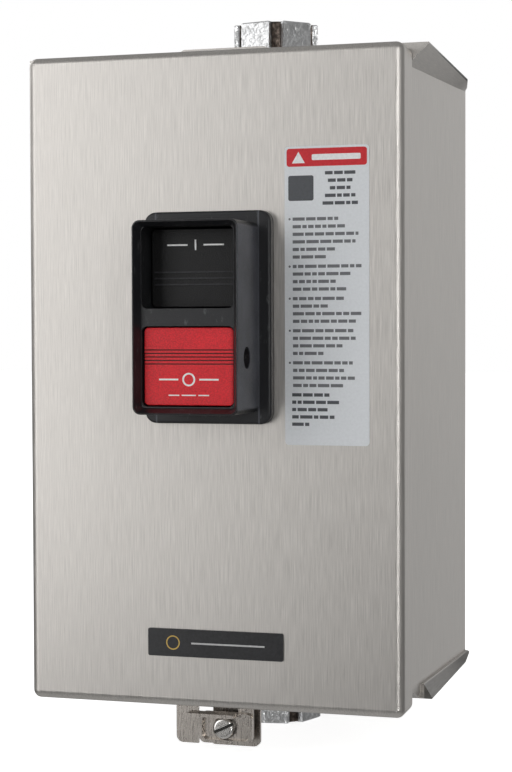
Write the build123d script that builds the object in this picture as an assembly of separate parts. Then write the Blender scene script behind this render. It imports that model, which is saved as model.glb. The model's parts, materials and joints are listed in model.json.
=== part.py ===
from build123d import *
import os

# Enclosed magnetic motor starter: a stainless box with a hook-on cover, a start/stop operator
# on the cover, a contactor and an overload relay inside, and two conduit hubs.
# Millimetres. The origin is the centre of the back face, which lies on the wall.
# +X is to the right, +Z is up and the front faces -Y. Depths "d" are distances out from the wall,
# so a depth of d is y = -d.

# ---- enclosure sheet metal
sheet = 1.5                 # stainless sheet, everywhere
box_width = 158.0           # over the side walls
box_depth = 157.5           # wall to gasket seat
cover_height = 273.0
cover_rim = 17.8            # depth of the cover's flange
gasket_thick = 3.0
gasket_width = 8.0
rim_gap = 0.7               # cover rim to side walls
neck_gap = 3.5              # cover rim to the box's necked end walls
cover_bend = 3.5            # outer bend radius of the cover
wall_bend = 2.0             # outer bend radius of the box's back corners
top_rise = 1.8              # top plate above the cover
bottom_drop = 0.7           # bottom plate below the cover
hood_gap = 1.0              # cover rim to the top plate's front edge
hood_lip = 3.5              # top plate's lip in front of its riser
step_front = 26.5           # bottom plate's sloping step, front and back behind the gasket seat
step_back = 42.0
flare_edge = 0.7            # edge of the flares at the ends of the side walls
flare_turn = 28.0           # depth where a flare turns in to the wall
flare_end = 3.0             # depth where it ends
top_flare = ((9.0, 9.0), (5.5, 3.7), (1.0, 2.4))    # reach and height, front, turn and end
bottom_flare = ((5.0, 6.5), (4.7, 1.9), (2.2, 1.2))
leg_thick = 1.4             # upright leg between the side wall and the bottom flare
hook_tab_left = -20.0
hook_tab_right = 21.0
hook_tab_rise = 1.5         # hook tab above the top plate
mount_tab_half = 45.0       # half width of the wall tabs
mount_tab_reach = 16.2      # wall tabs beyond the end plates
mount_spacing_x = 64.0
mount_spacing_z = cover_height + 20.0
mount_hole_r = 3.6
lug_x = 45.0                # cover's hook lugs
lug_width = 16.0
lug_reach = 3.6

# ---- latch at the bottom of the cover
screw_x = 0.8
screw_drop = 11.0           # screw below the cover
screw_r = 2.4
screw_head_r = 4.8
screw_head_height = 3.0
screw_slot = (1.3, 1.4)     # width and depth of the slot
screw_slot_angle = 25.0
screw_reach = 3.1           # screw into the bracket at rest
dish_left = -10.0
dish_right = 13.5
dish_drop = (4.5, 17.5)     # dish below the cover, top and bottom
dish_depth = 2.0
dish_floor = 1.2
dish_border = 1.4
dish_set_back = 8.5         # dish's front edge behind the gasket seat
latch_neck = 6.5            # width of the strip that carries the dish
latch_lip = (-14.0, 6.5)    # forward lip, left and right ends
latch_lip_reach = 4.0
bracket_set_back = 17.5     # latch bracket's rear face behind the gasket seat
bracket_left = -22.6
bracket_right = 15.0
bracket_drop = 19.8         # bracket below the cover
bracket_slot = (-12.7, -6.0)
bracket_slot_drop = 2.5     # top of its slot below the cover
bracket_boss_r = 5.2
bracket_boss_length = 4.0
swing_clearance = 0.35      # lets the screw swing out with the cover
clip_r = 4.3
clip_thick = 0.8
clip_gap = 0.2              # clip to bracket at rest
groove_r = 2.0
running_gap = 0.06          # radial clearance of parts that slide or turn

# ---- start/stop operator on the cover
operator_z = 26.15
operator_width = 44.2
operator_height = 77.5
operator_reach = 34.0       # front ridge beyond the cover
bevel_width = 2.6
bevel_depth = 4.0
window_side = 2.8           # housing beside, above, between and below the windows
window_top = 2.4
window_bar = (3.55, 3.45)   # bar between the windows, above and below the operator's middle
window_bottom = 3.1
window_corner = 2.4
flange_side = 5.2           # flange beyond the raised box, at the sides and at the ends
flange_end = 4.95
flange_thick = 3.8
flange_corner = 5.0
seal_thick = 0.8
opening_gap = 0.4           # operator neck to the cover's opening
lock_hole_r = 4.5
lock_hole_rise = 3.4        # padlock hole above the stop button's middle
lock_hole_reach = 21.2      # padlock hole beyond the cover
button_gap = 0.4            # button to its window
button_wall = 2.2
start_reach = 19.0          # start face beyond the cover
stop_reach = 28.4           # stop face beyond the cover
start_travel = 6.0
stop_travel = 10.0
skirt_spare = (5.0, 7.0)    # skirts of the start and stop buttons beyond their travel
stem_r = 4.0
start_stem_x = 0.0
stop_stem_x = 10.0
tip_gap = 0.3               # button stem to the plunger behind it
spring_gap = 0.15           # spring ends to their seats
start_ribs = (3, 2.5, 0.5, 0.3, 1.6)    # count, pitch, height, half width, first one below the middle
stop_grooves = (5, 1.4, 0.5, 0.25, 6.6)  # count, pitch, depth, half width, first one above the middle
plate_side = 2.7            # operator's back plate beyond the flange
plate_thick = 3.0
guide_r = 6.5
guide_length = 8.0
operator_screw_r = 1.5
operator_screw_inset = (2.6, 4.7)   # screws in from the flange's sides and ends
operator_screw_head = (2.6, 1.6)    # radius and height
screw_hole_gap = 0.3

# ---- labels
label_gap = 4.7             # label beside the operator
label_inset = 13.9          # label in from the cover's side
label_top = 95.5
label_bottom = -26.0
label_thick = 0.15
nameplate_x = (-27.8, 31.0)
nameplate_rise = (21.2, 32.8)   # nameplate above the cover's bottom edge
nameplate_thick = 0.6

# ---- conduit hubs
hub_depth = 60.0            # hub axis out from the wall
hub_flats = 38.5
hub_facet = 14.5
hub_core_r = 17.6
hub_length = 21.7
hub_bore_r = 12.6
hub_bore_length = 19.0
hub_throat_r = 10.4
hub_nipple_r = 13.9
hub_nipple_length = 10.0
hub_hole_gap = 0.2
hub_seal_thick = 1.5
hub_seal_r = 17.0
hub_turn = (15.7, 20.6)     # how far the top and bottom hubs are turned
locknut_thick = 5.0
locknut_r = 19.0

# ---- mounting plate
plate_front = 14.0          # depth of the mounting plate's front face
subplate_thick = 2.0
subplate_half = 60.0
subplate_z = (-80.0, 106.0)
standoff_x = 50.0
standoff_z = (-70.0, 100.0)
standoff_r = 5.0
stud_r = 2.4

ground_place = (45.0, -100.0)
ground_size = (5.0, 12.0, 10.0)     # half width, height and length of its foot
ground_bore_r = 3.2
ground_screw_r = 2.0

# ---- contactor
pole_pitch = 22.0
pole_count = 3
contactor_side = 4.5        # contactor beyond the outer poles
contactor_z = (19.0, 100.0)
contactor_mid = 57.0
base_height = 42.0          # magnet housing
case_wall = 2.5
core_stack = 18.0
core_half = 27.0
core_yoke = 7.0
core_leg = 7.0
core_centre = 13.0
core_start = 4.0            # core behind the magnet housing's floor
core_height = 22.0
magnet_gap = 5.05
carrier_travel = 5.0
armature_thick = 7.0
bobbin_half = (18.5, 20.0)
bobbin_wall = 1.2
foot_thick = 4.0
foot_half = (24.0, 17.5)
post_side = 8.0             # crossbar's post beyond the outer poles' middles
post_half_z = 5.0
arc_height = 40.0           # arc chamber housing
arc_half = 21.5             # half height of its raised middle
shoulder_drop = 29.3        # terminal shoulders below the arc chamber's front
strip_thick = 1.2
strip_width = 7.0
bridge_length = 36.0
bridge_thick = 1.2
tip_thick = 1.0
tip_r = 2.4
tip_offset = 15.0
contact_slack = 0.05
carrier_gap = 0.6           # crossbar to the arc chamber
front_thick = 4.0
terminal_r = 3.6
terminal_z = 6.3            # terminal screw in from the contactor's end

# ---- start contact block
block_half = 12.0
block_reach = (14.1, 13.9)  # start block below and above the start button's middle
block_height = 16.0
plunger_r = 3.4
start_plunger_out = 8.0

# ---- overload relay
relay_bottom = -62.0
relay_head = 8.9            # relay's top above the reset plunger
relay_height = 72.0
relay_shoulder_z = -44.0
relay_shoulder_drop = 26.0
relay_cover_thick = 4.0
reset_out = 12.0            # plunger beyond the relay's cover
reset_post_half = 3.2
reset_post_drop = 34.0      # spring post below the relay's front
dial_x = -16.0
dial_z = -22.0
dial_r = 7.0
dial_height = 4.0
dial_stem_r = 2.5
heater_wire_r = 1.0
heater_coil_r = 4.0
trip_bar_z = (-2.0, 3.0)

# ---- derived places
cover_face = box_depth + gasket_thick + sheet
cover_back = cover_face - cover_rim
cover_width = box_width + 2 * (rim_gap + sheet)
half_box = box_width / 2
half_cover = cover_height / 2
inner = half_box - sheet
neck = half_cover - sheet - neck_gap
top_out = half_cover + top_rise
bottom_out = half_cover + bottom_drop
screw_z = -half_cover - screw_drop
dish_top, dish_bottom = (-half_cover - drop for drop in dish_drop)
dish_front = box_depth - dish_set_back
bracket_back = box_depth - bracket_set_back
bracket_bottom = -half_cover - bracket_drop
bracket_slot_top = -half_cover - bracket_slot_drop
slope_front = box_depth - step_front
slope_back = box_depth - step_back
window_half = operator_width / 2 - window_side
start_window = (operator_z + window_bar[0], operator_z + operator_height / 2 - window_top)
stop_window = (operator_z - operator_height / 2 + window_bottom, operator_z - window_bar[1])
start_z = sum(start_window) / 2
stop_z = sum(stop_window) / 2
lock_hole_z = stop_z + lock_hole_rise
relay_z = (relay_bottom, stop_z + relay_head)
flange_width = operator_width + 2 * flange_side
flange_height = operator_height + 2 * flange_end
label_left = flange_width / 2 + label_gap
label_right = box_width / 2 + rim_gap + sheet - label_inset
contactor_half = (pole_count / 2) * pole_pitch + contactor_side
post_half_x = (pole_count - 1) / 2 * pole_pitch + post_side
hood_front = cover_back - hood_gap
riser = hood_front - hood_lip
ridge = cover_face + operator_reach
window_plane = ridge - bevel_depth
flange_back = cover_face + seal_thick
dish_seat = dish_front - dish_depth
dish_rear = dish_seat - dish_floor
bracket_front = bracket_back + sheet
base_front = plate_front + base_height
motor_front = plate_front + relay_height - relay_shoulder_drop
arc_front = base_front + arc_height
shoulder = arc_front - shoulder_drop
block_back = arc_front + front_thick
block_front = block_back + block_height
start_tip = block_front + start_plunger_out
relay_front = plate_front + relay_height
relay_face = relay_front + relay_cover_thick
reset_tip = relay_face + reset_out
core_back = plate_front + core_start
core_front = core_back + core_height
armature_back = core_front + magnet_gap
foot_back = armature_back + armature_thick
foot_front = foot_back + foot_thick
strip_front = shoulder + strip_thick
fixed_tip = strip_front + tip_thick
bridge_back = fixed_tip + carrier_travel + contact_slack + tip_thick
pole_x = [pole_pitch * (i - (pole_count - 1) / 2) for i in range(pole_count)]


# ---------------------------------------------------------------- helpers
def block(xs, ds, zs):
    """Block from two x values, two depths and two z values."""
    centre = ((xs[0] + xs[1]) / 2, -(ds[0] + ds[1]) / 2, (zs[0] + zs[1]) / 2)
    return Pos(*centre) * Box(abs(xs[1] - xs[0]), abs(ds[1] - ds[0]), abs(zs[1] - zs[0]))


def rod(x, z, r, d0, d1):
    """Round bar that points out from the wall."""
    return Pos(x, -(d0 + d1) / 2, z) * Rot(90, 0, 0) * Cylinder(r, abs(d1 - d0))


def rod_z(x, d, r, z0, z1):
    """Upright round bar."""
    return Pos(x, -d, (z0 + z1) / 2) * Cylinder(r, abs(z1 - z0))


def front_plate(outline, d0, d1):
    """Outline seen from the front, as thick as from depth d0 to d1."""
    return extrude(Plane.XZ.offset(d0) * outline, amount=d1 - d0)


def rounded(xs, zs, corner):
    """Rounded rectangle in the front view."""
    centre = Pos((xs[0] + xs[1]) / 2, (zs[0] + zs[1]) / 2)
    return centre * RectangleRounded(xs[1] - xs[0], zs[1] - zs[0], corner)


def side_prism(points, x0, x1):
    """Side-view outline of (depth, z) points, from x0 to x1."""
    outline = Polygon(*[(-d, z) for d, z in points], align=None)
    return extrude(Plane.YZ.offset(x0) * outline, amount=x1 - x0, dir=(1, 0, 0))


def coil_spring(x, z, d0, d1, radius, wire, turns):
    """Helical spring from depth d0 to d1, held just clear of both ends."""
    length = d1 - d0 - 2 * (wire + spring_gap)
    helix = Helix(pitch=length / turns, height=length, radius=radius)
    section = Plane(origin=helix @ 0, z_dir=helix % 0) * Circle(wire)
    coil = sweep(section, path=helix)
    return Pos(x, -(d0 + wire + spring_gap), z) * Rot(90, 0, 0) * coil


def screw(x, z, shank_r, head_r, tip, seat, head):
    """Slotted screw whose head sits on depth "seat"."""
    body = rod(x, z, shank_r, tip, seat) + rod(x, z, head_r, seat, seat + head)
    slot = block((x - head_r, x + head_r), (seat + head * 0.45, seat + head), (z - 0.5, z + 0.5))
    return body - slot


def save(name, shape):
    """Write one node."""
    shape.label = name
    export_step(shape, f"parts/{name}.step")


def save_group(name, shapes):
    """Write one node of several separate solids."""
    save(name, Compound(children=list(shapes)))


# ---------------------------------------------------------------- box
def flares(level, sign, inset, front, sizes):
    """Sloped rims outside both side walls, from an end plate's face towards the middle of the box."""
    sections = []
    for depth, (reach, height) in zip((front, flare_turn, flare_end), sizes):
        inside = half_box + inset
        outside = half_box + reach
        corners = [(inside, level), (outside, level), (outside, level - sign * flare_edge),
                   (inside, level - sign * height)]
        sections.append(Plane.XZ.offset(depth) * Polygon(*corners, align=None))
    right = loft(sections, ruled=True)
    return [right, mirror(right, about=Plane.YZ)]


def flare_legs(level, front, sizes):
    """Upright tapered legs between the side walls and the bottom flares."""
    (_, tall), _, (_, short) = sizes
    points = [(front, level), (front, level + tall), (flare_end, level + short), (flare_end, level)]
    return [side_prism(points, x, x + leg_thick) for x in (half_box, -half_box - leg_thick)]


def body_wrap():
    """Back with wall tabs, and both side walls, bent from one sheet."""
    low = -(bottom_out - sheet)
    high = top_out - sheet
    profile = [
        (0, low), (slope_back, low), (slope_back, low - sheet), (slope_front, -neck), (box_depth, -neck),
        (box_depth, neck), (hood_front, neck), (hood_front, high), (0, high),
    ]
    shell = side_prism(profile, -half_box, half_box)
    corners = shell.edges().filter_by(Axis.Z).group_by(Axis.Y)[-1]
    shell = fillet(corners, wall_bend)
    shell -= block((-inner, inner), (sheet, box_depth + 1), (-2 * half_cover, 2 * half_cover))
    tab_top = top_out + mount_tab_reach
    tab_bottom = -bottom_out - mount_tab_reach
    tab = rounded((-mount_tab_half, mount_tab_half), (tab_bottom, tab_top), 6)
    shell += front_plate(tab, 0, sheet)
    for x in (-mount_spacing_x / 2, mount_spacing_x / 2):
        for z in (-mount_spacing_z / 2, mount_spacing_z / 2):
            shell -= rod(x, z, mount_hole_r, -1, sheet + 1)
    for x in (-standoff_x, standoff_x):
        for z in standoff_z:
            shell -= rod(x, z, stud_r + running_gap, -1, sheet + 1)
    return shell


def top_end_plate():
    """Necked top wall, riser and overhanging plate in one, with the hook tab on its front edge."""
    low = neck - sheet
    high = top_out - sheet
    profile = [
        (box_depth, low), (box_depth, neck), (riser, neck), (riser, top_out), (sheet, top_out),
        (sheet, high), (riser - sheet, high), (riser - sheet, low),
    ]
    plate = side_prism(profile, -inner, inner)
    plate += block((-half_box, half_box), (sheet, hood_front), (high, top_out))
    for flare in flares(top_out, 1, 0, hood_front, top_flare):
        plate += flare
    tab = front_plate(
        rounded((hook_tab_left, hook_tab_right), (high - 6, top_out + hook_tab_rise), 3.5),
        hood_front - sheet, hood_front,
    )
    plate += tab - block((-inner, inner), (0, box_depth), (high - 10, high))
    return plate - rod_z(0, hub_depth, hub_nipple_r + hub_hole_gap, neck, 2 * top_out)


def bottom_end_plate():
    """Necked bottom wall, sloping step and overhanging plate."""
    low = -bottom_out
    high = low + sheet
    profile = [
        (box_depth, -neck), (slope_front, -neck), (slope_back, low), (sheet, low), (sheet, high),
        (slope_back - sheet / 3, high), (slope_front - sheet / 3, -neck + sheet), (box_depth, -neck + sheet),
    ]
    plate = side_prism(profile, -inner, inner)
    plate += block((-half_box, half_box), (sheet, slope_back), (low, high))
    for rim in flares(low, -1, leg_thick, slope_back, bottom_flare):
        plate += rim
    for leg in flare_legs(low, slope_back, bottom_flare):
        plate += leg
    return plate - rod_z(0, hub_depth, hub_nipple_r + hub_hole_gap, low - 1, high + 1)


def latch_bracket():
    """Plate below the box with an open slot, a clinch nut and a hole for the cover screw."""
    outline = rounded((bracket_left, bracket_right), (bracket_bottom, -neck + 8), 3)
    plate = front_plate(outline, bracket_back, bracket_front)
    plate -= block((-inner, inner), (0, box_depth), (-neck, 0))
    plate -= block(bracket_slot, (0, box_depth), (bracket_bottom - 5, bracket_slot_top))
    plate += rod(screw_x, screw_z, bracket_boss_r, bracket_back - bracket_boss_length, bracket_back)
    return plate - rod(screw_x, screw_z, screw_r + swing_clearance, 0, box_depth)


def ground_lug():
    """Box lug for the earth wire, on the back sheet."""
    half, height, foot = ground_size
    x, z = ground_place
    mid = sheet + height / 2 - 0.5
    lug = block((x - half, x + half), (sheet, sheet + height), (z - half - 1, z + half + 1))
    lug -= rod_z(x, mid, ground_bore_r, z - 2 * half, z + 2 * half)
    lug += block((x - half, x + half), (sheet, sheet + 2.5), (z - half - 1 - foot, z - half - 1))
    return lug - rod(x, z, ground_screw_r + running_gap, mid, sheet + 2 * height)


def ground_screw():
    """Wire clamping screw of the ground lug."""
    x, z = ground_place
    seat = sheet + ground_size[1]
    return screw(x, z, ground_screw_r, 3.4, seat - 2.5, seat, 2.6)


# ---------------------------------------------------------------- cover
def cover_pan():
    """Dished sheet cover with two hook lugs at its top rear edge."""
    ds = (cover_back, cover_face)
    pan = block((-cover_width / 2, cover_width / 2), ds, (-half_cover, half_cover))
    bent = pan.edges().filter_by(Axis.Y) + pan.faces().sort_by(Axis.Y)[0].edges()
    pan = fillet(bent, cover_bend)
    hollow_x = cover_width / 2 - sheet
    hollow_z = half_cover - sheet
    pan -= block((-hollow_x, hollow_x), (cover_back - 1, cover_face - sheet), (-hollow_z, hollow_z))
    for x in (-lug_x, lug_x):
        lug_ds = (cover_back - lug_reach, cover_back)
        pan += block((x - lug_width / 2, x + lug_width / 2), lug_ds, (hollow_z, half_cover))
    pan -= front_plate(operator_outline(operator_width, operator_height, 3), cover_back, cover_face + 1)
    for x, z in operator_screws():
        pan -= rod(x, z, operator_screw_r + screw_hole_gap, cover_back, cover_face + 1)
    return pan


def cover_gasket():
    """Foam ring between the cover and the box's front edge."""
    out_x, out_z = half_box, neck + 0.5
    ds = (box_depth, box_depth + gasket_thick)
    ring = block((-out_x, out_x), ds, (-out_z, out_z))
    in_x, in_z = out_x - gasket_width, out_z - gasket_width
    return ring - block((-in_x, in_x), (0, 200), (-in_z, in_z))


def latch_plate():
    """Dished plate under the cover's rim that carries the captive screw."""
    border = rounded((dish_left, dish_right), (dish_bottom, dish_top), 2.8)
    plate = front_plate(border, dish_rear, dish_front)
    floor = rounded(
        (dish_left + dish_border, dish_right - dish_border),
        (dish_bottom + dish_border, dish_top - sheet), 2.2,
    )
    plate -= front_plate(floor, dish_seat, dish_front + 1)
    strip_x = (dish_right - latch_neck, dish_right)
    plate += block(strip_x, (dish_rear, dish_rear + sheet), (dish_top - 4, -half_cover))
    lip_ds = (dish_seat, dish_front + latch_lip_reach)
    plate += block(latch_lip, lip_ds, (dish_top - sheet, dish_top))
    return plate - rod(screw_x, screw_z, screw_r + 0.5, 0, dish_front + 1)


def cover_screw():
    """Captive slotted screw with a groove for its clip."""
    tip = bracket_front - screw_reach
    body = rod(screw_x, screw_z, screw_r, tip, dish_seat)
    head = rod(screw_x, screw_z, screw_head_r, dish_seat, dish_seat + screw_head_height)
    rim = head.edges().filter_by(GeomType.CIRCLE).sort_by(Axis.Y)[0]
    head = fillet(rim, screw_head_height * 0.55)
    width, depth = screw_slot
    top = dish_seat + screw_head_height
    cut = block((-6, 6), (top - depth, top + 1), (-width / 2, width / 2))
    body += head - Pos(screw_x, 0, screw_z) * Rot(0, -screw_slot_angle, 0) * cut
    groove = clip_depths(running_gap)
    body -= rod(screw_x, screw_z, screw_r + 1, *groove) - rod(screw_x, screw_z, groove_r, *groove)
    return body


def clip_depths(gap):
    """Depths of the two faces of the clip, opened by a gap."""
    back = bracket_front + clip_gap
    return (back - gap, back + clip_thick + gap)


def screw_clip():
    """Ring that keeps the screw on the cover."""
    ring = rod(screw_x, screw_z, clip_r, *clip_depths(0))
    return ring - rod(screw_x, screw_z, groove_r + running_gap, 0, cover_face)


def caution_label():
    """Plain stick-on label."""
    outline = rounded((label_left, label_right), (label_bottom, label_top), 1.6)
    return front_plate(outline, cover_face, cover_face + label_thick)


def nameplate():
    """Plain nameplate."""
    zs = tuple(rise - half_cover for rise in nameplate_rise)
    return front_plate(rounded(nameplate_x, zs, 0.8), cover_face, cover_face + nameplate_thick)


# ---------------------------------------------------------------- operator
def operator_screws():
    """Places of the four screws that clamp the operator to the cover."""
    side = flange_width / 2 - operator_screw_inset[0]
    end = flange_height / 2 - operator_screw_inset[1]
    return [(x, z) for x in (-side, side) for z in (operator_z - end, operator_z + end)]


def operator_outline(width, height, corner):
    """Rounded rectangle centred on the operator."""
    zs = (operator_z - height / 2, operator_z + height / 2)
    return rounded((-width / 2, width / 2), zs, corner)


def operator_housing():
    """Black housing: flange, raised box with a bevelled border, two windows and padlock holes."""
    flange = operator_outline(flange_width, flange_height, flange_corner)
    flange = front_plate(flange, flange_back, flange_back + flange_thick)
    flange = fillet(flange.faces().sort_by(Axis.Y)[0].edges(), 1.2)
    box = front_plate(operator_outline(operator_width, operator_height, 3.2), flange_back, ridge)
    box = fillet(box.faces().sort_by(Axis.Y)[0].edges(), 0.7)
    neck_size = (operator_width - 2 * opening_gap, operator_height - 2 * opening_gap)
    box += front_plate(operator_outline(*neck_size, 3), cover_face - sheet, flange_back)
    wide = operator_outline(operator_width - 1.4, operator_height - 1.4, 2.6)
    narrow = operator_outline(operator_width - 2 * bevel_width, operator_height - 2 * bevel_width, 1.4)
    bevel = loft([Plane.XZ.offset(ridge + 0.01) * wide, Plane.XZ.offset(window_plane) * narrow])
    housing = flange + box - bevel
    for zs in (start_window, stop_window):
        window = rounded((-window_half, window_half), zs, window_corner)
        housing -= front_plate(window, cover_face - sheet - 1, ridge + 1)
    lock_d = cover_face + lock_hole_reach
    housing -= Pos(0, -lock_d, lock_hole_z) * Rot(0, 90, 0) * Cylinder(lock_hole_r, flange_width)
    for x, z in operator_screws():
        housing -= rod(x, z, operator_screw_r + running_gap, 0, flange_back + flange_thick - 1)
    return housing


def operator_seal():
    """Thin seal between the operator's flange and the cover."""
    ring = front_plate(operator_outline(flange_width, flange_height, flange_corner), cover_face, flange_back)
    ring -= front_plate(operator_outline(operator_width, operator_height, 3), 0, cover_face + 5)
    for x, z in operator_screws():
        ring -= rod(x, z, operator_screw_r + screw_hole_gap, 0, cover_face + 5)
    return ring


def operator_back_plate():
    """Plate behind the cover with a guide for each button stem."""
    seat = cover_face - sheet
    outline = operator_outline(flange_width + 2 * plate_side, flange_height + 2, 4)
    plate = front_plate(outline, seat - plate_thick, seat)
    for x, z in ((start_stem_x, start_z), (stop_stem_x, stop_z)):
        plate += rod(x, z, guide_r, seat - plate_thick - guide_length, seat - plate_thick)
        plate -= rod(x, z, stem_r + running_gap, 0, cover_face)
    for x, z in operator_screws():
        plate -= rod(x, z, operator_screw_r + screw_hole_gap, 0, cover_face)
    return plate


def operator_screw_set():
    """Four screws from behind the cover."""
    seat = cover_face - sheet - plate_thick
    tip = flange_back + flange_thick - 1.5
    radius, height = operator_screw_head
    screws = []
    for x, z in operator_screws():
        body = rod(x, z, operator_screw_r, seat, tip) + rod(x, z, radius, seat - height, seat)
        slot = block((x - radius, x + radius), (seat - height, seat - height / 2), (z - 0.4, z + 0.4))
        screws.append(body - slot)
    return screws


def button_cap(window, face, skirt, stem_x, stem_z, tip):
    """Hollow push button with a long round stem."""
    xs = (-window_half + button_gap, window_half - button_gap)
    zs = (window[0] + button_gap, window[1] - button_gap)
    cap = front_plate(rounded(xs, zs, window_corner - button_gap), face - skirt, face)
    cap = fillet(cap.faces().sort_by(Axis.Y)[0].edges(), 0.6)
    inside_x = (xs[0] + button_wall, xs[1] - button_wall)
    inside_z = (zs[0] + button_wall, zs[1] - button_wall)
    cap -= front_plate(rounded(inside_x, inside_z, 1.0), face - skirt - 1, face - button_wall)
    return cap + rod(stem_x, stem_z, stem_r, tip, face - button_wall)


def start_button():
    """Black recessed button with raised ribs across its middle."""
    face = cover_face + start_reach
    skirt = start_travel + skirt_spare[0]
    cap = button_cap(start_window, face, skirt, start_stem_x, start_z, start_tip + tip_gap)
    count, pitch, height, half_rib, drop = start_ribs
    half = window_half - button_gap - 1.5
    for i in range(count):
        z = start_z - drop - i * pitch
        cap += block((-half, half), (face, face + height), (z - half_rib, z + half_rib))
    return cap


def stop_button():
    """Red button, nearly flush, with grooves across its middle."""
    face = cover_face + stop_reach
    skirt = stop_travel + skirt_spare[1]
    cap = button_cap(stop_window, face, skirt, stop_stem_x, stop_z, reset_tip + tip_gap)
    count, pitch, depth, half_groove, rise = stop_grooves
    for i in range(count):
        z = stop_z + rise - i * pitch
        zs = (z - half_groove, z + half_groove)
        cap -= block((-window_half, window_half), (face - depth, face + 1), zs)
    return cap


def button_spring(stem_x, stem_z, face):
    """Return spring round a button's stem, from the back plate to the cap."""
    return coil_spring(stem_x, stem_z, cover_face - sheet, face - button_wall, stem_r + 1.3, 0.5, 5)


# ---------------------------------------------------------------- hubs
def hub(sign, level, turn):
    """Conduit hub with six raised facets, a threaded mouth and a nipple through the end plate."""
    outer = level + hub_seal_thick + hub_length
    body = Cylinder(hub_core_r, hub_length, align=(Align.CENTER, Align.CENTER, Align.MAX))
    for i in range(3):
        slab = Box(hub_facet, hub_flats, hub_length, align=(Align.CENTER, Align.CENTER, Align.MAX))
        body += Rot(0, 0, 60 * i) * slab
    mouth = body.faces().sort_by(Axis.Z)[-1]
    body = chamfer(mouth.outer_wire().edges(), 0.6)
    nipple_start = -hub_length - hub_seal_thick - hub_nipple_length
    body += Pos(0, 0, nipple_start / 2) * Cylinder(hub_nipple_r, -nipple_start)
    body -= Cylinder(hub_bore_r, 2 * hub_bore_length)
    body -= Cylinder(hub_throat_r, 200)
    placed = Pos(0, -hub_depth, outer) * Rot(0, 0, 30 + turn) * body
    return placed if sign > 0 else Rot(0, 180, 0) * placed


def hub_seal(sign, level):
    """Rubber ring under a hub."""
    ring = rod_z(0, hub_depth, hub_seal_r, level, level + hub_seal_thick)
    ring -= rod_z(0, hub_depth, hub_nipple_r + running_gap, level - 1, level + 5)
    return ring if sign > 0 else Rot(0, 180, 0) * ring


def hub_locknut(sign, level):
    """Notched ring nut inside the box."""
    back = level - sheet - locknut_thick
    nut = rod_z(0, hub_depth, locknut_r, back, back + locknut_thick)
    nut -= rod_z(0, hub_depth, hub_nipple_r + running_gap, back - 1, level)
    for i in range(6):
        nut -= Pos(0, -hub_depth, 0) * Rot(0, 0, 60 * i) * Pos(locknut_r, 0, back) * Box(3, 4, 60)
    return nut if sign > 0 else Rot(0, 180, 0) * nut


# ---------------------------------------------------------------- mounting plate
def mounting_plate():
    """Steel plate that carries the contactor and the relay."""
    back = plate_front - subplate_thick
    plate = front_plate(rounded((-subplate_half, subplate_half), subplate_z, 4), back, plate_front)
    for x in (-standoff_x, standoff_x):
        for z in standoff_z:
            plate -= rod(x, z, stud_r + running_gap, 0, plate_front + 1)
    for x, z in device_screws():
        plate -= rod(x, z, 1.8 + running_gap, 0, plate_front + 1)
    return plate


def standoffs():
    """Shouldered studs between the back sheet and the mounting plate."""
    posts = []
    for x in (-standoff_x, standoff_x):
        for z in standoff_z:
            post = rod(x, z, standoff_r, sheet, plate_front - subplate_thick)
            posts.append(post + rod(x, z, stud_r, 0, plate_front + 5))
    return posts


def plate_nuts():
    """Nuts on the studs in front of the mounting plate."""
    nuts = []
    for x in (-standoff_x, standoff_x):
        for z in standoff_z:
            nut = front_plate(Pos(x, z) * RegularPolygon(4.6, 6), plate_front, plate_front + 3.5)
            nuts.append(nut - rod(x, z, stud_r + running_gap, 0, plate_front + 10))
    return nuts


def device_screws():
    """Places of the screws that hold the contactor and the relay."""
    return [(-contactor_half + 5, contactor_z[1] - 4.5), (contactor_half - 5, contactor_z[1] - 4.5),
            (-contactor_half + 5, relay_z[0] + 4.5), (contactor_half - 5, relay_z[0] + 4.5)]


def device_screw_set():
    """Screws through the ears of the contactor and the relay."""
    return [screw(x, z, 1.8, 3.4, plate_front - 4, plate_front + 3, 2.4) for x, z in device_screws()]


# ---------------------------------------------------------------- contactor
def contactor_base():
    """Magnet housing, open to the front, with two mounting ears at the top."""
    low, high = contactor_z[0], contactor_z[1] - 9
    case = block((-contactor_half, contactor_half), (plate_front, base_front), (low, high))
    case -= block(
        (-contactor_half + case_wall, contactor_half - case_wall), (plate_front + 3, base_front + 1),
        (low + case_wall, high - case_wall))
    case += block((-contactor_half, contactor_half), (plate_front, plate_front + 3), (high, contactor_z[1]))
    case += block((-core_half, core_half), (plate_front, core_back), (contactor_mid - 9, contactor_mid + 9))
    for x, z in device_screws()[:2]:
        case -= rod(x, z, 1.8 + running_gap, 0, plate_front + 5)
    return case


def magnet_core():
    """Laminated E core."""
    zs = (contactor_mid - core_stack / 2, contactor_mid + core_stack / 2)
    core = block((-core_half, core_half), (core_back, core_back + core_yoke), zs)
    for left, right in magnet_legs():
        core += block((left, right), (core_back, core_front), zs)
    return core


def magnet_legs():
    """Left and right sides of the three legs of the magnet core."""
    centre = core_centre / 2
    return [(-core_half, -core_half + core_leg), (-centre, centre), (core_half - core_leg, core_half)]


def coil_bobbin():
    """Plastic bobbin on the centre leg."""
    bore_x, bore_z = core_centre / 2 + 0.2, core_stack / 2 + 0.2
    half_x, half_z = bobbin_half
    back, front = core_back + core_yoke + 0.2, core_front - 0.3
    tube_x, tube_z = bore_x + bobbin_wall, bore_z + bobbin_wall
    bobbin = block((-tube_x, tube_x), (back, front), (contactor_mid - tube_z, contactor_mid + tube_z))
    for d0, d1 in ((back, back + bobbin_wall), (front - bobbin_wall, front)):
        bobbin += block((-half_x, half_x), (d0, d1), (contactor_mid - half_z, contactor_mid + half_z))
    bore_zs = (contactor_mid - bore_z, contactor_mid + bore_z)
    return bobbin - block((-bore_x, bore_x), (back - 1, front + 1), bore_zs)


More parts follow.
